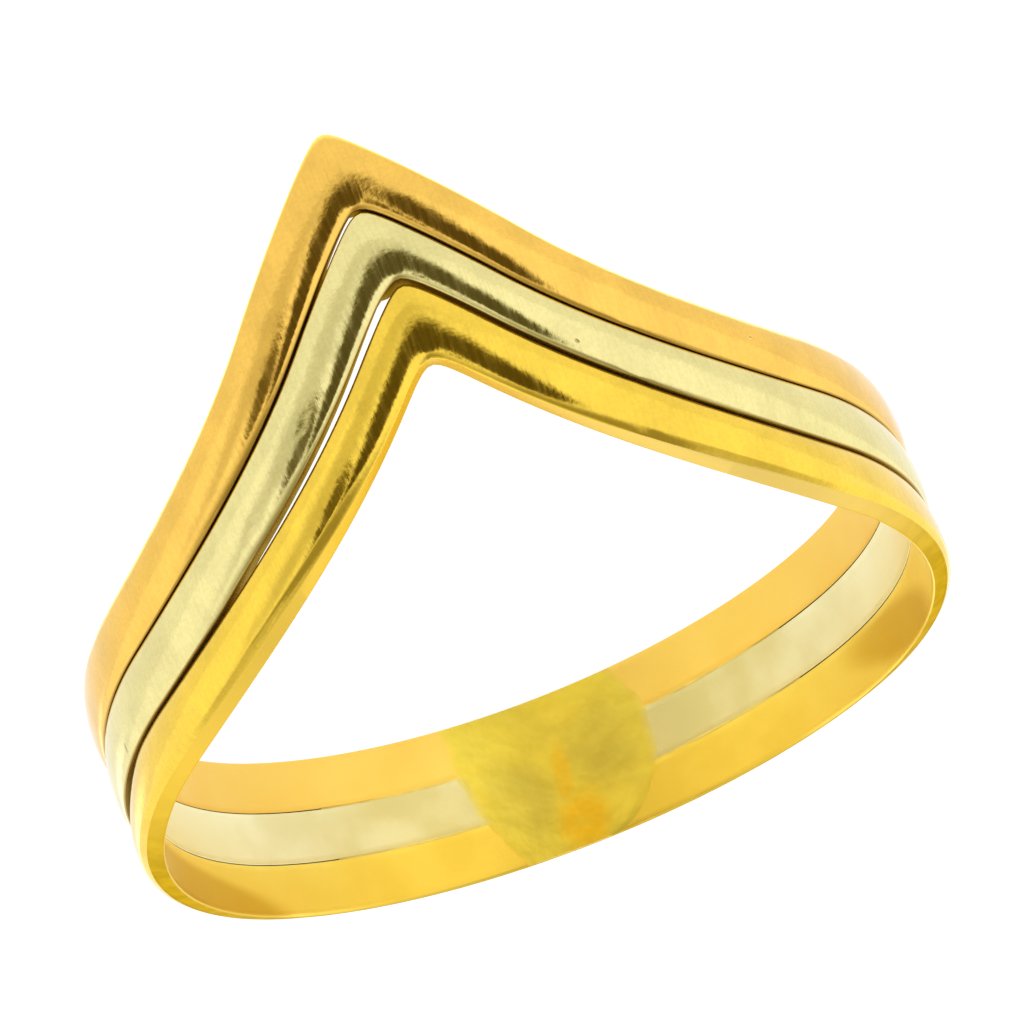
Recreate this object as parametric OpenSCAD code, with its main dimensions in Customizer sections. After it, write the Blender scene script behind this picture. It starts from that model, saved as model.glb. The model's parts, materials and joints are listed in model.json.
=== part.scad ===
// Chevron wedding ring in three colours of gold.
// Three narrow domed bands, rose, white and yellow, are bent to the same V,
// nested and soldered together behind the finger.
// The ring lies on its side with its peak down: it rests on the tip of the
// peak and on the back edge of the rose band. The peak points to -Y.

/* [Finger hole] */
// Inner diameter of the ring
hole_d = 17.5; // [16:0.1:20]

/* [Bands] */
// Distance from one band to the next, measured across the bands
pitch = 1.32; // [1.26:0.02:1.5]
// Gap between neighbouring bands, filled with solder at the back
seam = 0.04; // [0.02:0.01:0.08]
// Thickness of the white band at the crown of its dome
crown_t = 0.6; // [0.5:0.05:0.8]
// How much thicker the rose band is, and thinner the yellow one
crown_step = 0.1; // [0:0.02:0.12]
// How far the crown of a band's dome stands above its two edges
dome_h = 0.16; // [0.1:0.02:0.24]

/* [Chevron] */
// Slope of the straight legs beside the peak, in degrees
leg_angle = 48.5; // [44:0.5:50]
// Radius of the bend below the legs, along the middle band
bend_r = 11; // [10.5:0.1:12]
// Slope where the bend runs out into the shoulder, in degrees
shoulder_angle = 7; // [5:0.5:8]
// Radius of the long, nearly level shoulder
shoulder_r = 100; // [80:1:105]
// How far the corners at the peak are rounded off
peak_round = 0.25; // [0.15:0.01:0.3]

/* [Solder] */
// Diameter of the solder patch inside the back
patch_d = 4.9; // [4:0.1:6]
// Bare metal between the patch and the two edges of the ring
patch_margin = 0.08; // [0.05:0.01:0.3]
// Depth of the patch in the inner wall
patch_t = 0.08; // [0.06:0.01:0.12]
// How far the solder runs along the seams to each side, in degrees
seam_reach = 42; // [30:1:50]

/* [Hidden] */

// One row a band: its place across the ring in pitches from the middle, then
// for its upper and its lower edge the turn of the peak around the finger in
// degrees and the length of the straight legs. The bands were bent by hand, so
// they part a little beside the peak.
ROSE = [1, [0, 2.09], [1.05, 2.29]];
WHITE = [0, [0.9, 2.19], [2.3, 2.59]];
YELLOW = [-1, [2.5, 2.49], [2.4, 2.84]];
PLACE = 0;
UPPER = 1;
LOWER = 2;
TURN = 0;
LEG = 1;

hole_r = hole_d / 2;
outer_r = hole_r + crown_t;
band_w = pitch - seam;
stack_w = 3 * pitch;
ROUND_FN = 240;

// The blank of a band starts this far inside the wall, and the hole is cut after
blank_in = 0.15;
dome_steps = 8;

// Stations around a band, as angles from the rose band's peak: close together
// where the three peaks are
peak_steps = [for (a = [-3:0.6:5.4]) a];
far_steps = [for (a = [9:3:354]) a];
stations = concat(peak_steps, [6.6], far_steps);

// Distances from the peak, along the finger's circumference, where the legs,
// the bend and the shoulder of a line with this leg length end
function leg_end(leg) = leg * cos(leg_angle);
function bend_end(leg) = leg_end(leg) + bend_r * (sin(leg_angle) - sin(shoulder_angle));
function shoulder_end(leg) = bend_end(leg) + shoulder_r * sin(shoulder_angle);

// Heights of the shoulder's and the bend's upper ends, and of the peak
shoulder_h = shoulder_r * (1 - cos(shoulder_angle));
bend_h = shoulder_h + bend_r * (cos(shoulder_angle) - cos(leg_angle));
function peak_h(leg) = bend_h + leg * sin(leg_angle);

// Height at distance s from the peak of the line that runs beside the V at offset d
function leg_line(s, leg, d) = peak_h(leg) + d / cos(leg_angle) - s * tan(leg_angle);
function bend_line(s, leg, d) =
    let (centre_s = leg_end(leg) + bend_r * sin(leg_angle),
         centre_h = bend_h + bend_r * cos(leg_angle))
    centre_h - sqrt(pow(bend_r - d, 2) - pow(s - centre_s, 2));
function shoulder_line(s, leg, d) =
    shoulder_r - sqrt(pow(shoulder_r - d, 2) - pow(s - shoulder_end(leg), 2));
function v_line(s, leg, d) =
    s < leg_end(leg) + d * sin(leg_angle) ? leg_line(s, leg, d)
    : s < bend_end(leg) + d * sin(shoulder_angle) ? bend_line(s, leg, d)
    : s < shoulder_end(leg) ? shoulder_line(s, leg, d)
    : d;

// Distance along the circumference for an angle from the peak, eased at the corner
function along(angle) =
    let (s = angle * PI / 180 * outer_r)
    sqrt(s * s + peak_round * peak_round) - peak_round;

// The same angle, counted both ways from the peak
function near_peak(angle) = angle > 180 ? angle - 360 : angle < -180 ? angle + 360 : angle;

// Height of a band's upper (side 1) or lower (side -1) edge above the ring's foot
function height(angle, band, side) =
    let (edge = side > 0 ? band[UPPER] : band[LOWER],
         offset = band[PLACE] * pitch + side * band_w / 2)
    stack_w / 2 + v_line(along(near_peak(angle - edge[TURN])), edge[LEG], offset);

// Thickness of a band's dome, with u from -1 at its lower to 1 at its upper edge
function crown(band) = crown_t + band[PLACE] * crown_step;
function dome(u, band) = crown(band) - dome_h * (1 - sqrt(1 - u * u));

// Cross-section at one station, as [distance outside the hole, height], with its
// inner side at the distance inner
function band_section(angle, band, inner) =
    let (low = height(angle, band, -1), high = height(angle, band, 1))
    concat(
        [[inner, low]],
        [for (i = [0:dome_steps])
            let (u = sin(-90 + 180 * i / dome_steps))
            [dome(u, band), (low + high) / 2 + u * (high - low) / 2]],
        [[inner, high]]
    );

// All points of a band's blank, station by station, with the peak at -Y
function band_points(band) = [
    for (angle = stations)
        for (p = band_section(angle, band, -blank_in))
            let (r = hole_r + p[0])
            [r * sin(angle), -r * cos(angle), p[1]]
];

// Two triangles between each pair of neighbouring points at neighbouring stations
side_count = dome_steps + 3;
band_faces = [
    for (i = [0:len(stations) - 1])
        let (here = i * side_count, next = ((i + 1) % len(stations)) * side_count)
        for (j = [0:side_count - 1])
            let (k = (j + 1) % side_count)
            each [[here + j, here + k, next + k], [here + j, next + k, next + j]]
];

// Upright, the floor would be the line laid over the peak and the back edge:
// its slope is how far the ring tips when it lies on them
function floor_points(angle, sign) = [
    for (p = band_section(angle, ROSE, 0)) [sign * (hole_r + p[0]), p[1]]
];
peak_points = floor_points(0, -1);
back_points = floor_points(180, 1);
tip_slope = max([
    for (a = peak_points)
        min([for (b = back_points) (a[1] - b[1]) / (b[0] - a[0])])
]);
tip_angle = atan(tip_slope);
floor_drop = max([for (a = peak_points) a[1] * cos(tip_angle) + a[0] * sin(tip_angle)]);
lying_y = [
    for (band = [ROSE, WHITE, YELLOW])
        for (p = band_points(band))
            p[1] * cos(tip_angle) - p[2] * sin(tip_angle)
];
middle_y = (min(lying_y) + max(lying_y)) / 2;

// From the upright ring to the ring as it lies
module lay_down() {
    translate([0, -middle_y, floor_drop])
        rotate([-tip_angle, 0, 0])
            rotate([0, 180, 0])
                children();
}

module finger_hole() {
    hole_depth = 40;
    cylinder(h = hole_depth, r = hole_r, center = true, $fn = ROUND_FN);
}

// Blank of the round solder patch, cut off at the ring's edges
module patch_blank() {
    cutter_reach = 1;
    patch_h = stack_w - 2 * patch_margin;
    intersection() {
        cylinder(h = stack_w, r = hole_r + patch_t, $fn = ROUND_FN);
        translate([0, hole_r - cutter_reach, stack_w / 2])
            rotate([-90, 0, 0])
                intersection() {
                    cylinder(h = 2 * cutter_reach, d = patch_d, $fn = 64);
                    translate([-patch_d / 2, -patch_h / 2, 0])
                        cube([patch_d, patch_h, 2 * cutter_reach]);
                }
    }
}

// Blank of the solder in the seam above the band at this place
module seam_blank(place) {
    seam_depth = 0.2;
    translate([0, 0, stack_w / 2 + (place + 0.5) * pitch - seam / 2])
        rotate([0, 0, 90 - seam_reach])
            rotate_extrude(angle = 2 * seam_reach, $fn = ROUND_FN)
                translate([hole_r - blank_in, 0])
                    square([blank_in + seam_depth, seam]);
}

module gold_band(band) {
    difference() {
        polyhedron(points = band_points(band), faces = band_faces, convexity = 8);
        finger_hole();
        patch_blank();
    }
}

module rose_band() {
    color("#f2b756") lay_down() gold_band(ROSE);
}

module white_band() {
    color("#e3dba6") lay_down() gold_band(WHITE);
}

module yellow_band() {
    color("#f3c93f") lay_down() gold_band(YELLOW);
}

module solder() {
    color("#d9b92f") lay_down()
        difference() {
            union() {
                patch_blank();
                seam_blank(YELLOW[PLACE]);
                seam_blank(WHITE[PLACE]);
            }
            finger_hole();
        }
}

rose_band();
white_band();
yellow_band();
solder();
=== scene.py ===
# %% [markdown]
# # A chevron wedding ring in three colours of gold
# The real ring is three narrow strips of half-round wire, in rose, white and
# yellow gold. A goldsmith bends each one to the same V, nests them and solders
# them together behind the finger. The ring lies on its side with its peak down.
# The packed frame holds the exact pieces. This lesson dresses them: it models
# the three bands again with a fine, smooth surface, because a mirror finish
# shows every facet, and then gives each metal its colour, polish and wear.

# %% Load the frame
import json
import math
import bpy
from mathutils import Matrix, Vector


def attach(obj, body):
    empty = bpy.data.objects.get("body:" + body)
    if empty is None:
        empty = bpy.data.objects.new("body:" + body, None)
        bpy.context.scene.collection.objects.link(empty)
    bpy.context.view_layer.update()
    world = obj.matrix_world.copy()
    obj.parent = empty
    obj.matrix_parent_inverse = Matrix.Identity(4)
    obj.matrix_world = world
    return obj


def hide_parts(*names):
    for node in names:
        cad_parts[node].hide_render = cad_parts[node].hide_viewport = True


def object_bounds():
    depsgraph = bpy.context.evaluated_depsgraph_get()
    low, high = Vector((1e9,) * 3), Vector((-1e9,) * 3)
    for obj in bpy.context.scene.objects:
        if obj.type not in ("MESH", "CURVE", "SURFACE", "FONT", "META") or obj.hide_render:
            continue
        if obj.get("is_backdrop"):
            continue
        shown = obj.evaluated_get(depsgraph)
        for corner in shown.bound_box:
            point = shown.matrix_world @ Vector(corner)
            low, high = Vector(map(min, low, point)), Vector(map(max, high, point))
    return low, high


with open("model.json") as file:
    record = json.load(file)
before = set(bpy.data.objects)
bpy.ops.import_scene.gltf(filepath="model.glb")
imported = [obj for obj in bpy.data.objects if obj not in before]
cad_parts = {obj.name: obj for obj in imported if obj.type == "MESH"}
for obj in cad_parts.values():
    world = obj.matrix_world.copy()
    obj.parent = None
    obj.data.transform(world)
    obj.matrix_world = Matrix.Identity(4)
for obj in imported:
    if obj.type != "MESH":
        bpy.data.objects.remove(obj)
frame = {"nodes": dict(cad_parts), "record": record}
CAD_BOX = [list(corner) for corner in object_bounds()]
print("nodes", sorted(frame["nodes"]))

# %% [markdown]
# ## Sizes
# Blender works in metres, and the ring is a few millimetres, so every size is
# written as a number of millimetres times MM. The finger hole's radius and the
# way its axis leans are read from the frame, so the new bands can't drift from
# the exact ones. The other sizes are the ones that the bands were designed with.
# The foot is the point on the hole's axis that is level with the ring's lower
# edge: the ring is built upright around it and laid down at the end.

# %% Sizes of the ring
MM = 0.001
DEG = math.pi / 180

hole = frame["record"]["mounts"][0]
hole_r = hole["dims"]["r_mm"] * MM
hole_axis = Vector(hole["axis"]).normalized()
mount_to_foot = 2.6 * MM
foot = Vector(hole["pos_m"]) + hole_axis * mount_to_foot
tip_angle = math.atan2(hole_axis.y, hole_axis.z)

pitch = 1.32 * MM
seam = 0.02 * MM
band_width = pitch - seam
half_width = band_width / 2
stack_middle = 1.5 * pitch
white_thickness = 0.6 * MM
outer_r = hole_r + white_thickness
print("hole radius", hole_r / MM, "mm, the ring leans", round(tip_angle / DEG, 2), "degrees")

# %% [markdown]
# ## Camera
# The camera comes first, because everything is seen through it. It is a long
# lens, nearly in front of the peak and 42 degrees above the floor, where the
# photo's own camera was. It is turned almost upside down, because the photo
# shows the ring with its peak up, while it lies here with its peak down.

# %% Camera
AIM = Vector((-0.87, -1.06, 3.015)) * MM
CAMERA_DISTANCE = 67.5 * MM
CAMERA_ELEVATION = 41.9 * DEG
CAMERA_AZIMUTH = 0.97 * DEG
CAMERA_ROLL = 157.89 * DEG
LENS = 109.65

level = math.cos(CAMERA_ELEVATION)
towards_camera = Vector((
    level * math.sin(CAMERA_AZIMUTH),
    -level * math.cos(CAMERA_AZIMUTH),
    math.sin(CAMERA_ELEVATION),
))
camera_data = bpy.data.cameras.new("photo_camera")
camera_data.lens = LENS
camera_data.clip_start = 1 * MM
camera_data.clip_end = 10
camera = bpy.data.objects.new("photo_camera", camera_data)
bpy.context.scene.collection.objects.link(camera)
camera.matrix_world = (
    Matrix.Translation(AIM + towards_camera * CAMERA_DISTANCE)
    @ (-towards_camera).to_track_quat("-Z", "Y").to_matrix().to_4x4()
    @ Matrix.Rotation(CAMERA_ROLL, 4, "Z")
)
bpy.context.scene.camera = camera
print("camera at", [round(x / MM, 1) for x in camera.location], "mm")

# %% [markdown]
# ## The line of the V
# Unrolled, each edge of a band is the same line: straight legs beside the peak,
# a bend, a long and nearly level shoulder, and a level back. An edge that runs
# beside the middle line, at the offset d, has its own radii. The corner at the
# peak is eased a little, because wire can't be folded to a point.

# %% Height of a band's edge
LEG_ANGLE = 48.5 * DEG
BEND_R = 11 * MM
SHOULDER_ANGLE = 7 * DEG
SHOULDER_R = 100 * MM
PEAK_ROUND = 0.25 * MM


def v_line(s, leg, d):
    """Height at the distance s from the peak, for a line at the offset d from the middle one."""
    leg_end = leg * math.cos(LEG_ANGLE)
    bend_end = leg_end + BEND_R * (math.sin(LEG_ANGLE) - math.sin(SHOULDER_ANGLE))
    shoulder_end = bend_end + SHOULDER_R * math.sin(SHOULDER_ANGLE)
    shoulder_h = SHOULDER_R * (1 - math.cos(SHOULDER_ANGLE))
    bend_h = shoulder_h + BEND_R * (math.cos(SHOULDER_ANGLE) - math.cos(LEG_ANGLE))
    if s < leg_end + d * math.sin(LEG_ANGLE):
        peak_h = bend_h + leg * math.sin(LEG_ANGLE)
        return peak_h + d / math.cos(LEG_ANGLE) - s * math.tan(LEG_ANGLE)
    if s < bend_end + d * math.sin(SHOULDER_ANGLE):
        centre_s = leg_end + BEND_R * math.sin(LEG_ANGLE)
        centre_h = bend_h + BEND_R * math.cos(LEG_ANGLE)
        return centre_h - math.sqrt((BEND_R - d) ** 2 - (s - centre_s) ** 2)
    if s < shoulder_end:
        return SHOULDER_R - math.sqrt((SHOULDER_R - d) ** 2 - (s - shoulder_end) ** 2)
    return d


def edge_height(angle, edge, offset):
    """Height of an edge above the foot, at an angle in degrees from the rose band's peak."""
    turned = (angle - edge["turn"] + 180) % 360 - 180
    s = abs(turned) * DEG * outer_r
    s = math.sqrt(s * s + PEAK_ROUND**2) - PEAK_ROUND
    return stack_middle + v_line(s, edge["leg"], offset)


usual_leg = 2.4 * MM
print("the V is about", round(v_line(0, usual_leg, 0) / MM, 1), "mm high")

# %% [markdown]
# ## Three bands
# Each band is one wire with a flat inner side and a low dome outside. A row of
# this table gives its place across the ring, counted in pitches from the middle
# band, its thickness at the crown, the height of its dome and how far its lower
# inner corner is rounded. The rose band is the thickest and the yellow one the
# thinnest, so they stand a little proud of each other. The bands were bent by
# hand, so each edge has its own turn of the peak, in degrees, and its own length
# of the straight legs.

# %% Table of the bands
BANDS = {
    "rose": dict(
        place=1, thickness=0.65 * MM, dome=0.16 * MM, bevel=0.03 * MM,
        upper=dict(turn=0, leg=2.09 * MM), lower=dict(turn=0.85, leg=2.22 * MM),
    ),
    "white": dict(
        place=0, thickness=white_thickness, dome=0.14 * MM, bevel=0.03 * MM,
        upper=dict(turn=0.9, leg=2.19 * MM), lower=dict(turn=2.3, leg=2.59 * MM),
    ),
    "yellow": dict(
        place=-1, thickness=0.54 * MM, dome=0.16 * MM, bevel=0.08 * MM,
        upper=dict(turn=2.5, leg=2.49 * MM), lower=dict(turn=2.4, leg=2.84 * MM),
    ),
}
for band in BANDS.values():
    band["middle"] = stack_middle + band["place"] * pitch
    band["edge_r"] = hole_r + band["thickness"] - band["dome"]
print("middles in mm", {name: round(band["middle"] / MM, 2) for name, band in BANDS.items()})

# %% [markdown]
# ## Helpers for modelling
# Blender's operators act on all that is selected. So choose makes one object the
# only selected one, edit opens it with nothing selected in it, and pick selects
# points by their place.

# %% Choose, edit and pick
TINY = 0.001 * MM


def choose(obj):
    """Makes obj the only selected object, and the active one."""
    bpy.ops.object.select_all(action="DESELECT")
    bpy.context.view_layer.objects.active = obj
    obj.select_set(True)


def edit(obj):
    """Opens obj in edit mode with nothing selected."""
    choose(obj)
    bpy.ops.object.mode_set(mode="EDIT")
    bpy.ops.mesh.select_mode(type="VERT")
    bpy.ops.mesh.select_all(action="DESELECT")


def pick(obj, test):
    """Selects the vertices whose place passes the test."""
    bpy.ops.mesh.select_all(action="DESELECT")
    bpy.ops.object.mode_set(mode="OBJECT")
    for v in obj.data.vertices:
        v.select = test(v.co)
    bpy.ops.object.mode_set(mode="EDIT")


print("places are told apart to", TINY / MM, "mm")

# %% [markdown]
# ## The section of the wire
# A mill rolls the wire through a groove that gives it this section. Here it
# starts as a circle across the band. One half is deleted, the other is pressed
# flatter with resize, which makes it half an ellipse, and an extrude and an edge
# close it on the finger's side. The two inner corners are rounded with bevel,
# as polishing and wear do, the yellow band's lower one the most.

# %% The section of a band
DOME_POINTS = 96
INNER_CUTS = 7
CORNER_STEPS = 3
INNER_EASE = 0.015 * MM


def band_section(name, band):
    """The closed outline of a band's section, standing at a right angle to the peak."""
    middle = band["middle"]
    edge_r = band["edge_r"]
    bpy.ops.object.select_all(action="DESELECT")
    bpy.ops.mesh.primitive_circle_add(
        vertices=DOME_POINTS, radius=half_width,
        location=(edge_r, 0, middle), rotation=(90 * DEG, 0, 0),
    )
    obj = bpy.context.object
    obj.name = name
    obj.data.name = name
    bpy.ops.object.transform_apply(location=True, rotation=True, scale=True)
    edit(obj)
    pick(obj, lambda co: co.x < edge_r - TINY)
    bpy.ops.mesh.delete(type="VERT")
    bpy.ops.mesh.select_all(action="SELECT")
    flatness = band["dome"] / half_width
    bpy.ops.transform.resize(value=(flatness, 1, 1), center_override=(edge_r, 0, middle))
    pick(obj, lambda co: abs(abs(co.z - middle) - half_width) < TINY)
    inwards = (hole_r - edge_r, 0, 0)
    bpy.ops.mesh.extrude_region_move(TRANSFORM_OT_translate={"value": inwards})
    bpy.ops.mesh.edge_face_add()
    bpy.ops.mesh.subdivide(number_cuts=INNER_CUTS)
    pick(obj, lambda co: co.x < hole_r + TINY and co.z > middle + half_width - TINY)
    bpy.ops.mesh.bevel(offset=INNER_EASE, segments=CORNER_STEPS, affect="VERTICES")
    pick(obj, lambda co: co.x < hole_r + TINY and co.z < middle - half_width + TINY)
    bpy.ops.mesh.bevel(offset=band["bevel"], segments=CORNER_STEPS, affect="VERTICES")
    bpy.ops.object.mode_set(mode="OBJECT")
    return obj


bands = {name: band_section(name + "_gold_band", band) for name, band in BANDS.items()}
print("points in a section", {name: len(obj.data.vertices) for name, obj in bands.items()})

# %% [markdown]
# ## From wire to hoop
# The goldsmith bends the wire around a round mandrel. Here spin does that: it
# turns the section around the finger's axis. A mirror finish shows every facet,
# so the steps are fine, and finest beside the peak, where the V will be sharp.
# The section starts at a right angle to the peak, so the first turn brings it to
# the fine sector, the second takes it past the peak, and the third closes the hoop.

# %% Sweep the sections around the finger
FINE_SECTOR = 16 * DEG
FINE_STEP = 0.1 * DEG
COARSE_STEP = 0.8 * DEG


def spin(angle, step):
    """Sweeps what is selected around the finger's axis, from +X towards the peak at -Y."""
    steps = round(angle / step)
    bpy.ops.mesh.spin(steps=steps, angle=-angle, center=(0, 0, 0), axis=(0, 0, 1))


def sweep(obj):
    """Turns the section once around the finger, with close steps beside the peak."""
    edit(obj)
    bpy.ops.mesh.select_all(action="SELECT")
    to_fine_sector = 90 * DEG - FINE_SECTOR / 2
    spin(to_fine_sector, COARSE_STEP)
    spin(FINE_SECTOR, FINE_STEP)
    spin(360 * DEG - to_fine_sector - FINE_SECTOR, COARSE_STEP)
    bpy.ops.mesh.select_all(action="SELECT")
    bpy.ops.mesh.remove_doubles(threshold=TINY / 10)
    bpy.ops.mesh.normals_make_consistent(inside=False)
    bpy.ops.object.mode_set(mode="OBJECT")


for obj in bands.values():
    sweep(obj)
    print(obj.name, len(obj.data.vertices), "points")

# %% [markdown]
# ## Coordinates on a band
# The finishes follow the band, so its UV map says, in millimetres, how far a
# point is along the band from the peak and across it from the middle. It is laid
# now, while the band is still a plain hoop. A face that straddles the back of
# the hoop, where the angle jumps from 180 to -180 degrees, keeps to one side.

# %% Lay the coordinates
BAND_MAP = "along_across"


def angle_from_peak(co):
    """Angle around the finger in degrees, from the peak at -Y, positive towards +X."""
    return math.atan2(co.x, -co.y) / DEG


def lay_coordinates(obj, middle):
    """A UV map in millimetres: along the band from the peak, and across it from its middle."""
    uv = obj.data.uv_layers.new(name=BAND_MAP)
    for face in obj.data.polygons:
        face_angle = angle_from_peak(face.center)
        for loop in face.loop_indices:
            co = obj.data.vertices[obj.data.loops[loop].vertex_index].co
            angle = (angle_from_peak(co) - face_angle + 180) % 360 - 180 + face_angle
            uv.data[loop].uv = (angle * DEG * outer_r / MM, (co.z - middle) / MM)


for name, obj in bands.items():
    lay_coordinates(obj, BANDS[name]["middle"])
    print(obj.name, "has coordinates on", len(obj.data.polygons), "faces")

# %% [markdown]
# ## Pushing points
# Wear, dents and the bend to the V all move each point by its own amount. A
# Displace modifier does that, with the amounts as the weights of a vertex group.

# %% Helpers for pushing points
def push(obj, name, amounts, direction, way=1):
    """Moves each vertex by its own amount along Z or its normal, forwards or, with -1, back."""
    choose(obj)
    most = max(amounts)
    group = obj.vertex_groups.new(name=name)
    for i, amount in enumerate(amounts):
        group.add([i], amount / most, "REPLACE")
    displace = obj.modifiers.new(name, "DISPLACE")
    displace.direction = direction
    displace.vertex_group = name
    displace.mid_level = 0
    displace.strength = most * way
    bpy.ops.object.modifier_apply(modifier=name)
    obj.vertex_groups.clear()


def ease(x, start, end):
    """0 at the start, 1 at the end, smooth between."""
    t = min(max((x - start) / (end - start), 0), 1)
    return t * t * (3 - 2 * t)


print("halfway, ease gives", ease(0.5, 0, 1))

# %% [markdown]
# ## Wear and dents
# The yellow band is at the ring's foot, and the lower rim of its dome is worn
# thin there, all round but at the peak. Beside the peaks are small dents from
# knocks. Both press the surface in along its normal. Places on a band are given
# as degrees from the peak, and across from -1 at the lower to 1 at the upper edge.

# %% Wear and dent the domes
WORN_RIM = 0.12 * MM
WORN_LEFT = (5, 30)
WORN_RIGHT = (10, 45)
WORN_ACROSS = (-1, -0.6)
DENTS = {
    "rose": [dict(at=(27.5, -0.8), reach=0.25 * MM, depth=0.02 * MM)],
    "white": [
        dict(at=(26, -0.8), reach=0.3 * MM, depth=0.03 * MM),
        dict(at=(-14.5, -0.35), reach=0.25 * MM, depth=0.012 * MM),
        dict(at=(-25, -0.55), reach=0.3 * MM, depth=0.012 * MM),
    ],
    "yellow": [
        dict(at=(24.5, -0.75), reach=0.3 * MM, depth=0.025 * MM),
        dict(at=(-30, -0.7), reach=0.4 * MM, depth=0.012 * MM),
    ],
}


def wear_at(name, angle, across):
    """How deep the dome is worn or dented at this place."""
    depth = 0
    if name == "yellow":
        worn = max(ease(-angle, *WORN_LEFT), ease(angle, *WORN_RIGHT))
        depth += WORN_RIM * worn * (1 - ease(across, *WORN_ACROSS))
    for dent in DENTS[name]:
        along = (angle - dent["at"][0]) * DEG * outer_r
        away = math.hypot(along, (across - dent["at"][1]) * half_width) / dent["reach"]
        depth += dent["depth"] * (1 - ease(away, 0, 1))
    return depth


def wear(obj, name):
    """Presses the dome of a band in where it is worn or dented."""
    band = BANDS[name]
    depths = []
    for v in obj.data.vertices:
        across = max(-1, min((v.co.z - band["middle"]) / half_width, 1))
        on_dome = math.hypot(v.co.x, v.co.y) > band["edge_r"] - TINY
        depths.append(wear_at(name, angle_from_peak(v.co), across) if on_dome else 0)
    push(obj, "wear", depths, "NORMAL", -1)
    return max(depths)


for name, obj in bands.items():
    deepest = wear(obj, name)
    print(obj.name, "is worn or dented by up to", round(deepest / MM, 3), "mm")

# %% [markdown]
# ## The V
# A real band is bent over a former. Here each point moves along the finger's
# axis only: a band's two edges follow their own lines, and what lies between
# them is shared out. The bands don't touch everywhere. Beside one leg light
# shows through two narrow openings, where the lower side of the band is cut
# back towards the finger, and on that side of the ring the yellow band's upper
# edge sinks away from the white band in a long, lens-shaped gap.

# %% Bend the bands to the V
GAP_ANGLE = -76
GAP_REACH = 17
GAP_DEPTH = 0.25 * MM
OPENINGS = {
    "rose": dict(start=-5, end=1, soft_start=5, soft_end=1.25, lift=0.02 * MM),
    "white": dict(start=-28, end=1, soft_start=8, soft_end=2, lift=0.04 * MM),
}
UNDERCUT = 0.45


def opening(name, angle, depth):
    """How much higher a band's lower side stands where light comes through below it."""
    if name not in OPENINGS:
        return 0
    gap = OPENINGS[name]
    near = ease(angle, gap["start"] - gap["soft_start"], gap["start"])
    near *= 1 - ease(angle, gap["end"] - gap["soft_end"], gap["end"])
    return near * (gap["lift"] + UNDERCUT * depth)


def bend(obj, name):
    """Lifts each point of the plain hoop by what the V asks for, less the least lift of all."""
    band = BANDS[name]
    offset = band["place"] * pitch
    lifts = []
    for v in obj.data.vertices:
        angle = angle_from_peak(v.co)
        across = (v.co.z - band["middle"]) / half_width
        low = edge_height(angle, band["lower"], offset - half_width)
        high = edge_height(angle, band["upper"], offset + half_width)
        low += opening(name, angle, max(band["edge_r"] - math.hypot(v.co.x, v.co.y), 0))
        if name == "yellow":
            high -= GAP_DEPTH * (1 - ease(abs(angle - GAP_ANGLE), 0, GAP_REACH))
        lifts.append((low + high) / 2 + across * (high - low) / 2 - v.co.z)
    least = min(lifts)
    push(obj, "bend", [lift - least for lift in lifts], "Z")
    return least


left_out = {name: bend(obj, name) for name, obj in bands.items()}
for obj in bands.values():
    print(obj.name, "is now", round(obj.dimensions.z / MM, 2), "mm high")

# %% [markdown] ## The way the ring lies The upright ring is turned over, peak
# down, tipped by the lean of its axis and set on its place in the frame.

# %% Lay the bands down
SMOOTH_UP_TO = 30 * DEG


def lay_down(obj, lift=0):
    """From the upright ring, foot down, to the ring as it lies, in the frame's place."""
    choose(obj)
    obj.matrix_world = (
        Matrix.Translation(foot)
        @ Matrix.Rotation(-tip_angle, 4, "X")
        @ Matrix.Rotation(180 * DEG, 4, "Y")
        @ Matrix.Translation((0, 0, lift))
    )
    bpy.ops.object.transform_apply(location=True, rotation=True, scale=True)
    bpy.ops.object.shade_smooth_by_angle(angle=SMOOTH_UP_TO)


for name, obj in bands.items():
    lay_down(obj, left_out[name])
    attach(obj, "root")
    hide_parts(name + "_band")
    print(obj.name, "in mm", [round(x / MM, 2) for x in obj.dimensions])

# %% [markdown]
# ## Solder
# Behind the finger the three bands are soldered together, and the solder was
# filed down to a thin patch on the inner wall. It is round on one side. On the
# other it is wide at the top and narrows downwards. Each side is an ellipse,
# and a small ripple keeps the outline from looking drawn. On these sheets of
# solder all places are in plain millimetres: along the wall, up from the foot
# and, as the rise, in from the wall.

# %% Outline of the patch
ROUND_SIDE = dict(height=2.4, reach=2.45, tall=2.45)
FULL_SIDE = dict(height=3.1, reach=2.87, tall=3.9)
NARROWEST = 0.02
RIPPLE = 0.03
FINE_RIPPLE = 0.01
RIPPLE_TURNS = 5
FINE_RIPPLE_TURNS = 13


def side_at(side, height):
    """How far the patch reaches to one side at a height, on an ellipse."""
    away = (height - side["height"]) / side["tall"]
    if side is FULL_SIDE:
        away = min(away, 0)
    return side["reach"] * math.sqrt(max(1 - away**2, NARROWEST**2))


def patch_sides(height):
    """Where the patch begins and ends along the wall at a height."""
    ripple = RIPPLE * math.sin(height * RIPPLE_TURNS)
    ripple += FINE_RIPPLE * math.sin(height * FINE_RIPPLE_TURNS)
    return -side_at(FULL_SIDE, height) - ripple, side_at(ROUND_SIDE, height) + ripple


print("the patch at 2 mm goes from", [round(side, 2) for side in patch_sides(2)], "mm")

# %% [markdown]
# ## From sheet to wall
# A piece of solder starts as a flat grid and is rolled onto the finger hole's
# wall. Its first UV map holds the place on the wall, its second one the place on
# the grid, from -1 to 1, so that a material can tell the rim of the patch.

# %% Roll a sheet onto the wall
WALL_MAP = "UVMap"
RIM_MAP = "rim"


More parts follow.
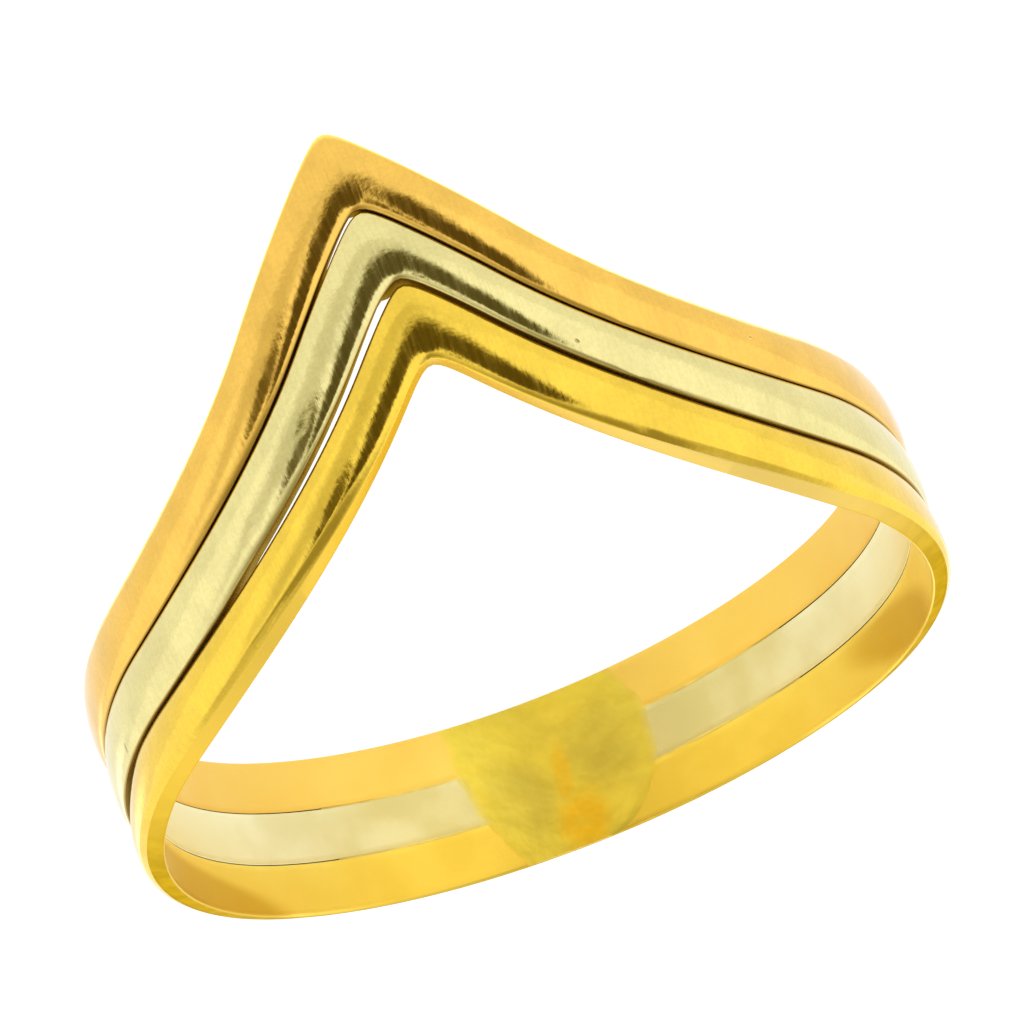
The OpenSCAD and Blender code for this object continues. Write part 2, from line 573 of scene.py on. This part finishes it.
def sheet(name, columns, rows):
    """A flat grid from -1 to 1 both ways."""
    bpy.ops.object.select_all(action="DESELECT")
    bpy.ops.mesh.primitive_grid_add(x_subdivisions=columns, y_subdivisions=rows, size=2)
    obj = bpy.context.object
    obj.name = name
    obj.data.name = name
    return obj


def roll_up(obj, places):
    """Moves each vertex of a sheet to its place: along the wall, up from the foot, and rise."""
    obj.data.uv_layers.new(name=RIM_MAP)
    wall = obj.data.uv_layers[WALL_MAP]
    rim = obj.data.uv_layers[RIM_MAP]
    for loop in obj.data.loops:
        along, height, rise = places[loop.vertex_index]
        wall.data[loop.index].uv = (along, height)
        rim.data[loop.index].uv = obj.data.vertices[loop.vertex_index].co.xy
    for v in obj.data.vertices:
        along, height, rise = places[v.index]
        angle = along * MM / hole_r
        r = hole_r - rise * MM
        v.co = (r * math.sin(angle), r * math.cos(angle), height * MM)


print("a millimetre along the wall is", round(MM / hole_r / DEG, 1), "degrees")

# %% [markdown]
# ## The patch
# The patch covers the wall nearly from edge to edge and stands a hundredth of a
# millimetre proud, with its sides eased down to the wall. All solder is sunk a
# little, so that its rim goes into the metal and doesn't float on it.

# %% Make the patch
PATCH_LOWEST = 0.02
PATCH_HIGHEST = 3.94
PATCH_PROUD = 0.012
PATCH_EDGE_EASE = 0.25
SOLDER_SUNK = 0.002
PATCH_COLUMNS = 96
PATCH_ROWS = 64


def make_patch():
    """The patch as a sheet on the wall."""
    obj = sheet("solder_patch", PATCH_COLUMNS, PATCH_ROWS)
    places = []
    for v in obj.data.vertices:
        height = PATCH_LOWEST + (v.co.y + 1) / 2 * (PATCH_HIGHEST - PATCH_LOWEST)
        left, right = patch_sides(height)
        along = left + (right - left) * (v.co.x + 1) / 2
        rise = PATCH_PROUD * ease(1 - abs(v.co.x), 0, PATCH_EDGE_EASE)
        places.append((along, height, rise - SOLDER_SUNK))
    roll_up(obj, places)
    return obj


patch = make_patch()
print(patch.name, len(patch.data.vertices), "points")

# %% [markdown]
# ## Solder in the seams
# From the patch the solder runs on along both seams and gets thinner, until the
# bands show a hairline between them. It rises only where it has left the patch.

# %% Make the seams
SEAM_REACH = 6.4
SEAM_HALF_WIDTH = 0.04
SEAM_NARROWS = (0.35, 1)
SEAM_PROUD = 0.006
SEAM_RISES = (2.8, 3.3)
SEAM_WAVE = 0.2
SEAM_WAVE_TURNS = 4
SEAM_COLUMNS = 160
SEAM_ROWS = 4


def make_seam(place):
    """The solder in the seam above the band at this place, as a sheet on the wall."""
    obj = sheet("solder_seam", SEAM_COLUMNS, SEAM_ROWS)
    middle = (stack_middle + (place + 0.5) * pitch) / MM
    places = []
    for v in obj.data.vertices:
        along = v.co.x * SEAM_REACH
        width = SEAM_HALF_WIDTH * (1 - ease(abs(v.co.x), *SEAM_NARROWS)) + seam / 2 / MM
        width *= 1 + SEAM_WAVE * math.sin(along * SEAM_WAVE_TURNS)
        rise = SEAM_PROUD * (1 - v.co.y**2) * ease(abs(along), *SEAM_RISES)
        places.append((along, middle + v.co.y * width, rise - SOLDER_SUNK))
    roll_up(obj, places)
    return obj


seams = [make_seam(BANDS["yellow"]["place"]), make_seam(BANDS["white"]["place"])]
print(len(seams), "seams,", 2 * SEAM_REACH, "mm long")

# %% [markdown]
# ## Nodes in short words
# Metal, paper and sky are all painted with nodes: boxes with sockets that are
# wired to other boxes. Here each method adds one box, wires its inputs and
# returns its output, so that a recipe reads like a formula.

# %% Helpers for nodes
class Nodes:
    """The nodes of a material or a sky, with short names for those that are needed here."""

    def __init__(self, owner, shader):
        owner.use_nodes = True
        self.nodes = owner.node_tree.nodes
        self.links = owner.node_tree.links
        self.shader = self.nodes[shader]

    def node(self, kind, **settings):
        """A new node with these settings."""
        node = self.nodes.new(kind)
        for key, value in settings.items():
            setattr(node, key, value)
        return node

    def feed(self, socket, source):
        """Links a socket to its source, or writes a plain value into it."""
        if isinstance(source, bpy.types.NodeSocket):
            self.links.new(source, socket)
        elif isinstance(source, tuple) and socket.type == "RGBA":
            socket.default_value = (*source, 1)
        else:
            socket.default_value = source

    def vector(self, operation, a, b=None):
        """Arithmetic on places. The length of one is a number."""
        node = self.node("ShaderNodeVectorMath", operation=operation)
        self.feed(node.inputs[0], a)
        if b is not None:
            self.feed(node.inputs[1], b)
        return node.outputs["Value" if operation == "LENGTH" else "Vector"]

    def number(self, operation, a, b=None):
        """Arithmetic on numbers."""
        node = self.node("ShaderNodeMath", operation=operation)
        self.feed(node.inputs[0], a)
        if b is not None:
            self.feed(node.inputs[1], b)
        return node.outputs["Value"]

    def parts(self, place):
        """The three numbers of a place."""
        node = self.node("ShaderNodeSeparateXYZ")
        self.feed(node.inputs["Vector"], place)
        return node.outputs["X"], node.outputs["Y"], node.outputs["Z"]

    def fade(self, value, start, end, low=0.0, high=1.0):
        """Goes smoothly from low at the start to high at the end."""
        if start > end:
            start, end, low, high = end, start, high, low
        node = self.node("ShaderNodeMapRange", interpolation_type="SMOOTHSTEP")
        self.feed(node.inputs["Value"], value)
        self.feed(node.inputs["From Min"], start)
        self.feed(node.inputs["From Max"], end)
        self.feed(node.inputs["To Min"], low)
        self.feed(node.inputs["To Max"], high)
        return node.outputs["Result"]

    def mix(self, factor, a, b):
        """The colour a where the factor is 0, b where it is 1."""
        node = self.node("ShaderNodeMix", data_type="RGBA")
        colour_a, colour_b = [socket for socket in node.inputs if socket.type == "RGBA"]
        self.feed(node.inputs["Factor"], factor)
        self.feed(colour_a, a)
        self.feed(colour_b, b)
        return next(socket for socket in node.outputs if socket.type == "RGBA")

    def spot(self, place, at, reach, turn=0, core=0.3):
        """1 in the core of an ellipse, fading to 0 at its rim, turned by so many degrees."""
        away = self.vector("SUBTRACT", place, (*at, 0))
        if turn:
            node = self.node("ShaderNodeVectorRotate", rotation_type="Z_AXIS")
            self.feed(node.inputs["Vector"], away)
            self.feed(node.inputs["Angle"], -turn * DEG)
            away = node.outputs["Vector"]
        endless = 1000
        away = self.vector("DIVIDE", away, (*reach, endless))
        return self.fade(self.vector("LENGTH", away), 1, core)


print("short names", [name for name in vars(Nodes) if not name.startswith("_")])

# %% [markdown]
# ## Metals
# The three alloys are gold with different shares of copper, silver and whitening
# metal. A metal has no colour but the one that it gives to its reflections, so
# each alloy is the base colour of a fully metallic shader. Tarnish, dirt and the
# painted shade at the seams are one darker, browner tone.

# %% Alloys
ALLOYS = {
    "rose": (0.92, 0.57, 0.11),
    "white": (0.81, 0.72, 0.31),
    "yellow": (0.90, 0.62, 0.07),
}
# Tarnish and dirt, and also the painted shade along the seams
TARNISH_AND_SHADE = (0.36, 0.22, 0.06)
print("alloys", sorted(ALLOYS))

# %% [markdown]
# ## Recipes
# A Recipe is one material. It adds what only surfaces need: places on the piece,
# noises and bumps. No pattern is an image: each is worked out from the place on
# the piece, so it stays sharp however close the camera comes.

# %% Helpers for materials
class Recipe(Nodes):
    """A material in the making."""

    def __init__(self, name):
        self.material = bpy.data.materials.new(name)
        super().__init__(self.material, "Principled BSDF")

    def map(self, name):
        """The place on the piece's UV map of this name."""
        return self.node("ShaderNodeUVMap", uv_map=name).outputs["UV"]

    def in_space(self):
        """The place on the object, in millimetres."""
        place = self.node("ShaderNodeTexCoord").outputs["Object"]
        return self.vector("MULTIPLY", place, (1 / MM, 1 / MM, 1 / MM))

    def noise(self, place, scale, detail, stretch=(1, 1, 1)):
        """Cloudy noise, in cells of about 1 / scale mm."""
        node = self.node("ShaderNodeTexNoise")
        self.feed(node.inputs["Vector"], self.vector("MULTIPLY", place, stretch))
        self.feed(node.inputs["Scale"], scale)
        self.feed(node.inputs["Detail"], detail)
        return node.outputs["Fac"]

    def ragged(self, place, space, scale, reach):
        """The place, pushed about by up to half the reach, so that a shape on it turns ragged."""
        node = self.node("ShaderNodeTexNoise")
        self.feed(node.inputs["Vector"], space)
        self.feed(node.inputs["Scale"], scale)
        wobble = self.vector("SUBTRACT", node.outputs["Color"], (0.5, 0.5, 0.5))
        return self.vector("ADD", place, self.vector("MULTIPLY", wobble, (reach, reach, 0)))

    def bump(self, height, depth, under=None):
        """Raises the surface by depth where the height is 1."""
        node = self.node("ShaderNodeBump")
        self.feed(node.inputs["Height"], height)
        self.feed(node.inputs["Distance"], depth)
        if under:
            self.feed(node.inputs["Normal"], under)
        return node.outputs["Normal"]

    def finish(self, colour, roughness, normal):
        """Closes the recipe of a metal."""
        self.feed(self.shader.inputs["Base Color"], colour)
        self.feed(self.shader.inputs["Roughness"], roughness)
        self.feed(self.shader.inputs["Normal"], normal)
        self.feed(self.shader.inputs["Metallic"], 1)
        return self.material


print("a recipe adds", [name for name in vars(Recipe) if not name.startswith("_")])

# %% [markdown]
# ## Marks on the polish
# A few small pits hold dirt. A mark is a dark spot on the band's own map, at so
# many degrees from the peak and from -1 to 1 across, with its reach in mm.

# %% Marks
def on_arc(angle, across):
    """Place on the band's map, from degrees beside the peak and from -1 to 1 across."""
    return angle * DEG * outer_r / MM, across * half_width / MM


MARKS = {
    "rose": [dict(at=on_arc(44, 0.1), reach=(0.06, 0.04), turn=20)],
    "white": [
        dict(at=on_arc(19.9, -0.53), reach=(0.07, 0.05), turn=60),
        dict(at=on_arc(-63, -0.7), reach=(0.05, 0.18), turn=-20),
    ],
    "yellow": [dict(at=on_arc(78, -0.3), reach=(0.05, 0.05))],
}


def marks_on(gold, name):
    """1 in the marks of a band, 0 between them."""
    marks = 0.0
    for mark in MARKS[name]:
        marks = gold.number("MAXIMUM", marks, gold.spot(gold.map(BAND_MAP), **mark))
    return marks


print("marks", {name: len(rows) for name, rows in MARKS.items()})

# %% [markdown]
# ## Polish
# The outside was polished bright and has been worn since. It still mirrors its
# surroundings, but through fine scratches across the band, a fine grain and the
# gentle waves of handwork. Each is a low bump, from a thousandth to a fiftieth
# of a millimetre, and scratches and grain are also a little darker. The edge that
# a band turns to the seam below it is darkened with dirt and with painted shade
# of the seam, and dirt has darkened the small pits.

# %% Polished gold
SHADED = 0.9
# Dirt and painted shade along the edge that a band turns to the seam below
DIRT_AND_SHADE_BELOW = ("rose", "white")
DIRT_AND_SHADE_FROM = 0.95 * half_width / MM
DIRT_AND_SHADE_TO = half_width / MM
EDGE_DIRT_AND_SHADE = 0.9
MARK_DIRT = 0.7
GRAIN_DIRT = 0.08
SCRATCH_DIRT = 0.06
WAVE_DEPTH = 0.02 * MM
RIPPLE_DEPTH = 0.005 * MM
SCRATCH_DEPTH = 0.0012 * MM
GRAIN_DEPTH = 0.001 * MM
MARK_DEPTH = 0.01 * MM


def polished_gold(name):
    """The metal of a band's dome."""
    gold = Recipe(name + "_gold_polished")
    place = gold.map(BAND_MAP)
    space = gold.in_space()
    clouds = gold.noise(space, scale=0.9, detail=3)
    scratches = gold.noise(place, scale=9, detail=3, stretch=(1.6, 0.16, 1))
    grain = gold.noise(space, scale=12, detail=4)
    waves = gold.noise(space, scale=0.8, detail=1)
    ripples = gold.noise(space, scale=3.5, detail=2)
    marks = marks_on(gold, name)

    alloy = ALLOYS[name]
    shaded = tuple(SHADED * channel for channel in alloy)
    colour = gold.mix(gold.fade(clouds, 0.35, 0.7), alloy, shaded)
    # Painted shade of the seam, with dirt, darkens the lower edge
    if name in DIRT_AND_SHADE_BELOW:
        _, across, _ = gold.parts(place)
        dirt_and_shade = gold.fade(across, -DIRT_AND_SHADE_FROM, -DIRT_AND_SHADE_TO, high=EDGE_DIRT_AND_SHADE)
        colour = gold.mix(dirt_and_shade, colour, TARNISH_AND_SHADE)
    colour = gold.mix(gold.number("MULTIPLY", marks, MARK_DIRT), colour, TARNISH_AND_SHADE)
    colour = gold.mix(gold.fade(grain, 0.42, 0.6, high=GRAIN_DIRT), colour, TARNISH_AND_SHADE)
    colour = gold.mix(gold.fade(scratches, 0.42, 0.62, high=SCRATCH_DIRT), colour, TARNISH_AND_SHADE)

    roughness = gold.fade(scratches, 0.3, 0.75, low=0.07, high=0.18)
    normal = gold.bump(waves, WAVE_DEPTH)
    normal = gold.bump(ripples, RIPPLE_DEPTH, normal)
    normal = gold.bump(scratches, SCRATCH_DEPTH, normal)
    normal = gold.bump(grain, GRAIN_DEPTH, normal)
    normal = gold.bump(marks, -MARK_DEPTH, normal)
    return gold.finish(colour, roughness, normal)


polished = {name: polished_gold(name) for name in BANDS}
print("polished", sorted(material.name for material in polished.values()))

# %% [markdown]
# ## Satin inside
# The inner wall was brushed and never polished, so it is satin: rougher, with
# cloudy tones. Each band goes from a painted lit tone at the sides of the ring to
# a painted shaded tone at the back, and on the yellow band two amber wedges of
# painted reflection, the bands' shade mirrored in the wall, lie at the sides.

# %% Satin gold
INNER_LIT_AND_SHADED_TONES = {
    # At the sides of the ring, painted lit; at its back, painted in shade
    "rose": ((0.91, 0.61, 0.13), (0.94, 0.64, 0.12)),
    "white": ((0.92, 0.87, 0.54), (0.72, 0.62, 0.25)),
    "yellow": ((0.95, 0.72, 0.13), (0.86, 0.60, 0.07)),
}
INNER_SIDE = 17
INNER_BACK = 26
# Painted reflection: the bands' shade mirrored in the yellow wall, in amber
REFLECTION_AMBER = (0.66, 0.40, 0.03)
REFLECTION_STRENGTH = 0.7
REFLECTION_WEDGES = [
    dict(at=on_arc(-91, -1.35), reach=(6.1, 1.45), core=0.8),
    dict(at=on_arc(112, -0.1), reach=(3.2, 0.75), turn=8, core=0.5),
]
BRUSHED_DEPTH = 0.002 * MM


def satin_gold(name):
    """The metal of a band's inner wall."""
    gold = Recipe(name + "_gold_satin")
    place = gold.map(BAND_MAP)
    space = gold.in_space()
    clouds = gold.noise(space, scale=0.6, detail=4)
    grain = gold.noise(space, scale=14, detail=3)
    brushing = gold.noise(place, scale=6, detail=2, stretch=(0.15, 1.5, 1))

    along, _, _ = gold.parts(place)
    far = gold.number("ABSOLUTE", along)
    # Painted light: the sides get a lit tone, the back a shaded one
    back_shade = gold.fade(far, INNER_SIDE, INNER_BACK, low=-0.2)
    drift = gold.fade(clouds, 0.35, 0.65, low=-0.15, high=0.15)
    colour = gold.mix(gold.number("ADD", back_shade, drift), *INNER_LIT_AND_SHADED_TONES[name])
    if name == "yellow":
        # Painted reflection of the bands' shade on the yellow wall
        for wedge in REFLECTION_WEDGES:
            reflection = gold.number("MULTIPLY", gold.spot(place, **wedge), REFLECTION_STRENGTH)
            colour = gold.mix(reflection, colour, REFLECTION_AMBER)

    roughness = gold.fade(clouds, 0.3, 0.7, low=0.36, high=0.48)
    normal = gold.bump(grain, BRUSHED_DEPTH)
    normal = gold.bump(brushing, BRUSHED_DEPTH, normal)
    return gold.finish(colour, roughness, normal)


satin = {name: satin_gold(name) for name in BANDS}
print("satin", sorted(material.name for material in satin.values()))

# %% [markdown]
# ## Sides
# The sides that look at the next band can't be polished, and they are dark with
# tarnish and with painted shade of the seams. That makes the seams dark lines.
# The yellow band's lower side is open: towards the front it is worn and carries
# a painted highlight, in one tone on each side of the peak, and further back it is duller.

# %% Tarnished and shaded gold
# Tarnish, and painted shade of the seams on the sides that face the next band
SIDE_TARNISH_AND_SHADE = {
    "rose": ((0.20, 0.11, 0.03), (0.30, 0.17, 0.05)),
    "white": ((0.28, 0.22, 0.10), (0.36, 0.29, 0.13)),
    "yellow": ((0.56, 0.38, 0.05), (0.68, 0.47, 0.06)),
}
# Painted highlight on the front of the yellow band's worn lower side, one tone on each side of
# the peak
LEFT_RIM_HIGHLIGHT = (0.90, 0.62, 0.09)
RIGHT_RIM_HIGHLIGHT = (0.90, 0.66, 0.18)
RIM_FRONT = 8
RIM_SIDE = 14
RIM_HIGHLIGHT_STRENGTH = 0.9
RIM_CHANGE = 1
DULL_GLANCE = (0.80, 0.60, 0.16)
TARNISH_ROUGHNESS = 0.45
TARNISH_DEPTH = 0.003 * MM


def tarnished_gold(name):
    """The metal of a band's flat sides."""
    gold = Recipe(name + "_gold_tarnished")
    space = gold.in_space()
    mottle = gold.noise(space, scale=2, detail=4)
    grain = gold.noise(space, scale=12, detail=3)
    colour = gold.mix(gold.fade(mottle, 0.35, 0.65), *SIDE_TARNISH_AND_SHADE[name])
    if name == "yellow":
        # Painted highlight towards the front, fading to the duller tone further back
        along, _, _ = gold.parts(gold.map(BAND_MAP))
        highlight = gold.mix(gold.fade(along, -RIM_CHANGE, RIM_CHANGE), LEFT_RIM_HIGHLIGHT, RIGHT_RIM_HIGHLIGHT)
        far = gold.number("ABSOLUTE", along)
        front_highlight = gold.fade(far, RIM_FRONT, RIM_SIDE, low=RIM_HIGHLIGHT_STRENGTH, high=0.0)
        colour = gold.mix(front_highlight, colour, highlight)
    gold.feed(gold.shader.inputs["Specular Tint"], DULL_GLANCE)
    return gold.finish(colour, TARNISH_ROUGHNESS, gold.bump(grain, TARNISH_DEPTH))


tarnished = {name: tarnished_gold(name) for name in BANDS}
print("tarnished", sorted(material.name for material in tarnished.values()))

# %% [markdown]
# ## Which face gets which finish
# The goldsmith reaches the domes with the buff, and not the rest. A face that
# looks at the finger is satin. A face below the dome that looks along the
# finger, on the flat side of a band, is tarnished, with painted shade and, on the yellow band, a
# painted highlight. All the rest is polished.
# A face's normal tells where it looks, so no face is picked by hand.

# %% Dress the bands
FACES_FINGER = -0.5
FACES_ALONG = 0.35
POLISHED, SATIN, TARNISHED_SHADED = range(3)


def out_of_axis(place):
    """The way from the finger's axis to a place."""
    away = place - foot
    return away - hole_axis * away.dot(hole_axis)


def finish_of(face, band):
    """Which of the three finishes a face gets."""
    out = out_of_axis(face.center)
    if face.normal.dot(out.normalized()) < FACES_FINGER:
        return SATIN
    below_dome = out.length < band["edge_r"] + TINY
    if below_dome and abs(face.normal.dot(hole_axis)) > FACES_ALONG:
        return TARNISHED_SHADED
    return POLISHED


for name, obj in bands.items():
    for metal in (polished, satin, tarnished):
        obj.data.materials.append(metal[name])
    for face in obj.data.polygons:
        face.material_index = finish_of(face, BANDS[name])
    finishes = [face.material_index for face in obj.data.polygons]
    print(obj.name, "faces", [finishes.count(i) for i in (POLISHED, SATIN, TARNISHED_SHADED)])

# %% [markdown]
# ## Colour of the solder
# Solder is an alloy of its own, duller and greener than the gold around it, with
# two dull spots and an orange blotch, where copper came up in the heat: a broad
# body with a thin tongue above it. At its rim the patch is so thin that the tone
# of the band below comes through, so the tones of the three bands are laid under it.

# %% Gold solder
SOLDER = (0.60, 0.48, 0.07)
SOLDER_LIGHT = (0.86, 0.68, 0.08)
SOLDER_BLOTCH = (0.90, 0.56, 0.03)
SOLDER_ROUGHNESS = 0.38
DULL_SPOTS = [dict(at=(1.0, 2.2), reach=(1.5, 1.6)), dict(at=(-1.4, 1.6), reach=(1.4, 1.6))]
BLOTCH_BODY = dict(at=(-0.1, 0.6), reach=(0.85, 1.0), turn=-8, core=0.35)
BLOTCH_TONGUE = dict(at=(-0.2, 1.9), reach=(0.3, 1.1), turn=-6, core=0.35)
TONGUE_STRENGTH = 0.7
RIM_START = 0.82
RIM_THIN = 0.9
BORDER_SOFT = 0.08
LUMP_DEPTH = 0.03 * MM
SOLDER_GRAIN_DEPTH = 0.003 * MM


def tones_below(solder, height):
    """The inner tones of the three bands, one above the other."""
    # The back tones of the bands carry their painted shade under the thin rim
    tone = INNER_LIT_AND_SHADED_TONES["yellow"][1]
    for border, name in ((1, "white"), (2, "rose")):
        start = border * pitch / MM
        part = solder.fade(height, start - BORDER_SOFT, start + BORDER_SOFT)
        tone = solder.mix(part, tone, INNER_LIT_AND_SHADED_TONES[name][1])
    return tone


def gold_solder():
    """The metal of the patch."""
    solder = Recipe("gold_solder")
    place = solder.map(WALL_MAP)
    space = solder.in_space()
    clouds = solder.noise(space, scale=1.1, detail=4)
    wisps = solder.noise(space, scale=2.5, detail=2)
    grain = solder.noise(space, scale=10, detail=3)
    lumps = solder.noise(space, scale=1.4, detail=2)

    dull = 0.0
    for spot in DULL_SPOTS:
        dull = solder.number("MAXIMUM", dull, solder.spot(place, core=0.2, **spot))
    shade = solder.fade(clouds, 0.35, 0.65, low=-0.1, high=0.2)
    shade = solder.number("ADD", shade, solder.fade(dull, 0, 1, low=0.8, high=0.3))
    colour = solder.mix(shade, SOLDER, SOLDER_LIGHT)

    ragged = solder.ragged(place, space, scale=2, reach=0.35)
    tongue = solder.number("MULTIPLY", solder.spot(ragged, **BLOTCH_TONGUE), TONGUE_STRENGTH)
    blotch = solder.number("MAXIMUM", solder.spot(ragged, **BLOTCH_BODY), tongue)
    blotch = solder.number("MULTIPLY", blotch, solder.fade(wisps, 0.25, 0.5, low=0.6))
    colour = solder.mix(blotch, colour, SOLDER_BLOTCH)

    _, height, _ = solder.parts(place)
    sideways, _, _ = solder.parts(solder.map(RIM_MAP))
    thin = solder.fade(solder.number("ABSOLUTE", sideways), RIM_START, 1, high=RIM_THIN)
    colour = solder.mix(thin, colour, tones_below(solder, height))

    normal = solder.bump(lumps, LUMP_DEPTH)
    normal = solder.bump(grain, SOLDER_GRAIN_DEPTH, normal)
    return solder.finish(colour, SOLDER_ROUGHNESS, normal)


patch.data.materials.append(gold_solder())
print(patch.name, "is dressed")

# %% [markdown]
# ## Thin solder
# Drawn out in the seams, the solder is thinner and paler. It has a plain recipe
# of its own, because the seams are too narrow to show spots or a blotch.

# %% Solder in the seams
THIN_SOLDER = ((0.74, 0.56, 0.14), (0.84, 0.62, 0.14))
THIN_ROUGHNESS = 0.42
THIN_DEPTH = 0.002 * MM


def thin_solder():
    """The metal of the seams."""
    solder = Recipe("gold_solder_thin")
    space = solder.in_space()
    mottle = solder.noise(space, scale=3, detail=3)
    grain = solder.noise(space, scale=10, detail=3)
    colour = solder.mix(solder.fade(mottle, 0.35, 0.65), *THIN_SOLDER)
    return solder.finish(colour, THIN_ROUGHNESS, solder.bump(grain, THIN_DEPTH))


drawn_out = thin_solder()
for obj in seams:
    obj.data.materials.append(drawn_out)
print(len(seams), "seams are dressed")

# %% [markdown]
# ## One piece of solder
# The patch and the two seams were one melt, so they are joined to one object.
# Solidify then gives the sheets their thickness, down into the wall, so they
# look cast in and not stuck on.

# %% Join the solder
SOLDER_DEPTH = 0.08 * MM

choose(patch)
for obj in seams:
    obj.select_set(True)
bpy.ops.object.join()
joint = bpy.context.object
joint.name = "gold_solder_joint"
joint.data.name = "gold_solder_joint"
solid = joint.modifiers.new("thickness", "SOLIDIFY")
solid.thickness = SOLDER_DEPTH
solid.offset = -1
bpy.ops.object.modifier_apply(modifier="thickness")
edit(joint)
bpy.ops.mesh.select_all(action="SELECT")
bpy.ops.mesh.normals_make_consistent(inside=False)
bpy.ops.object.mode_set(mode="OBJECT")
lay_down(joint)
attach(joint, "root")
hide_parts("solder")
print(joint.name, len(joint.data.vertices), "points")

# %% [markdown] ## Floor The ring lies on white paper that is lit from below,
# as on a light table, so the background burns out to white. The polished
# domes mirror the paper, and pools of stronger, cooler light on it give the
# wide pale shoulders and the white line along the rose band's outer edge.
# Inside the ring the paper stays calm. Pools and calm places are ellipses on
# the floor, in millimetres.

# %% Lit paper
FLOOR_R = 26 * MM
FLOOR_POINTS = 128
FLOOR_TONE = (0.15, 0.15, 0.15)
FLOOR_GLOW = 0.97
POOLS = [
    # How strongly it glows, and its ellipse
    (5, dict(at=(0, -3), reach=(13.8, 9.1), core=0.6)),
    (1.7, dict(at=(-18, 19), reach=(8, 18), core=0.1)),
    (1.8, dict(at=(18.5, 12.5), reach=(9, 19), core=0.1)),
]
CALM = [
    dict(at=(0, 3), reach=(8.8, 8.8), core=0.8),
    dict(at=(0, -4.5), reach=(6, 6), core=0.5),
]
PLAIN_LIGHT = (1.0, 1.0, 1.0)
COOL_LIGHT = (0.72, 0.78, 1.0)
COOLS_FROM = 1
COOLS_TO = 3


def lit_paper():
    """Paper that glows by itself, more so in the pools."""
    paper = Recipe("white_paper")
    place = paper.in_space()
    lit = 0.0
    for strength, ellipse in POOLS:
        pool = paper.number("MULTIPLY", paper.spot(place, **ellipse), strength)
        lit = paper.number("MAXIMUM", lit, pool)
    for ellipse in CALM:
        left = paper.number("SUBTRACT", 1.0, paper.spot(place, **ellipse))
        lit = paper.number("MULTIPLY", lit, left)
    glow = paper.number("MAXIMUM", lit, FLOOR_GLOW)
    colour = paper.mix(paper.fade(glow, COOLS_FROM, COOLS_TO), PLAIN_LIGHT, COOL_LIGHT)
    paper.feed(paper.shader.inputs["Emission Strength"], glow)
    paper.feed(paper.shader.inputs["Emission Color"], colour)
    paper.feed(paper.shader.inputs["Base Color"], FLOOR_TONE)
    paper.feed(paper.shader.inputs["Roughness"], 1)
    paper.feed(paper.shader.inputs["Specular IOR Level"], 0)
    return paper.material


bpy.ops.object.select_all(action="DESELECT")
bpy.ops.mesh.primitive_circle_add(vertices=FLOOR_POINTS, radius=FLOOR_R, fill_type="NGON")
floor = bpy.context.object
floor.name = "floor"
floor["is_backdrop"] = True
floor.data.materials.append(lit_paper())
print("floor", round(2 * FLOOR_R / MM), "mm across")

# %% [markdown]
# ## Light tent
# The rest of what the gold mirrors is a light tent, painted on the sky by
# azimuth and elevation. It is bright, with soft shades. The two dark ones low
# in front, like the openings of a real tent, give the domes their brown patches
# beside the peaks. Shaded parts of the tent are warm: each colour channel is the
# light to its own power, so blue falls faster than red.

# %% Light tent
SKY_LIGHT = 1.26
SHADES = [
    # The part of the light that is left, and the ellipse in degrees, counted
    # from the front and from the horizon
    (0.09, dict(at=(-4, 15), reach=(25, 19), turn=60, core=0.5)),
    (0.14, dict(at=(22, 13), reach=(12, 15), turn=4, core=0.45)),
    (0.55, dict(at=(4, 58), reach=(100, 36), turn=-25, core=0.3)),
    (0.66, dict(at=(16, -7), reach=(80, 16), turn=18, core=0.15)),
    (0.6, dict(at=(-13, 70), reach=(330, 46), core=0.3)),
]
WARMTH = {"X": 0, "Y": 0.1, "Z": 0.6}

world = bpy.data.worlds.new("light_tent")
bpy.context.scene.world = world
sky = Nodes(world, "Background")
x, y, z = sky.parts(sky.node("ShaderNodeTexCoord").outputs["Generated"])
azimuth = sky.number("ARCTAN2", x, sky.number("MULTIPLY", y, -1.0))
elevation = sky.number("ARCSINE", z)
chart = sky.node("ShaderNodeCombineXYZ")
sky.feed(chart.inputs["X"], sky.number("DIVIDE", azimuth, DEG))
sky.feed(chart.inputs["Y"], sky.number("DIVIDE", elevation, DEG))
light = SKY_LIGHT
for left, ellipse in SHADES:
    shade = sky.spot(chart.outputs["Vector"], **ellipse)
    light = sky.number("MULTIPLY", light, sky.fade(shade, 0, 1, low=1.0, high=left))
sky.feed(sky.shader.inputs["Strength"], light)
dimness = sky.number("MINIMUM", light, 1.0)
tint = sky.node("ShaderNodeCombineXYZ")
for channel, power in WARMTH.items():
    sky.feed(tint.inputs[channel], sky.number("POWER", dimness, power))
sky.feed(sky.shader.inputs["Color"], tint.outputs["Vector"])
bpy.context.scene.view_settings.view_transform = "Standard"
print(len(SHADES), "shades in the light tent")

# %% [markdown]
# ## Size
# The box of the dressed ring is measured, and the sizes of both boxes, its own
# and that of the exact pieces, are printed. The dressed ring has to stay inside
# the box of the exact pieces.

# %% Measure and finish
VISUAL_BOX = [list(corner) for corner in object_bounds()]
for title, box in (("exact", CAD_BOX), ("dressed", VISUAL_BOX)):
    print(title, "size in mm", [round((high - low) / MM, 2) for low, high in zip(*box)])
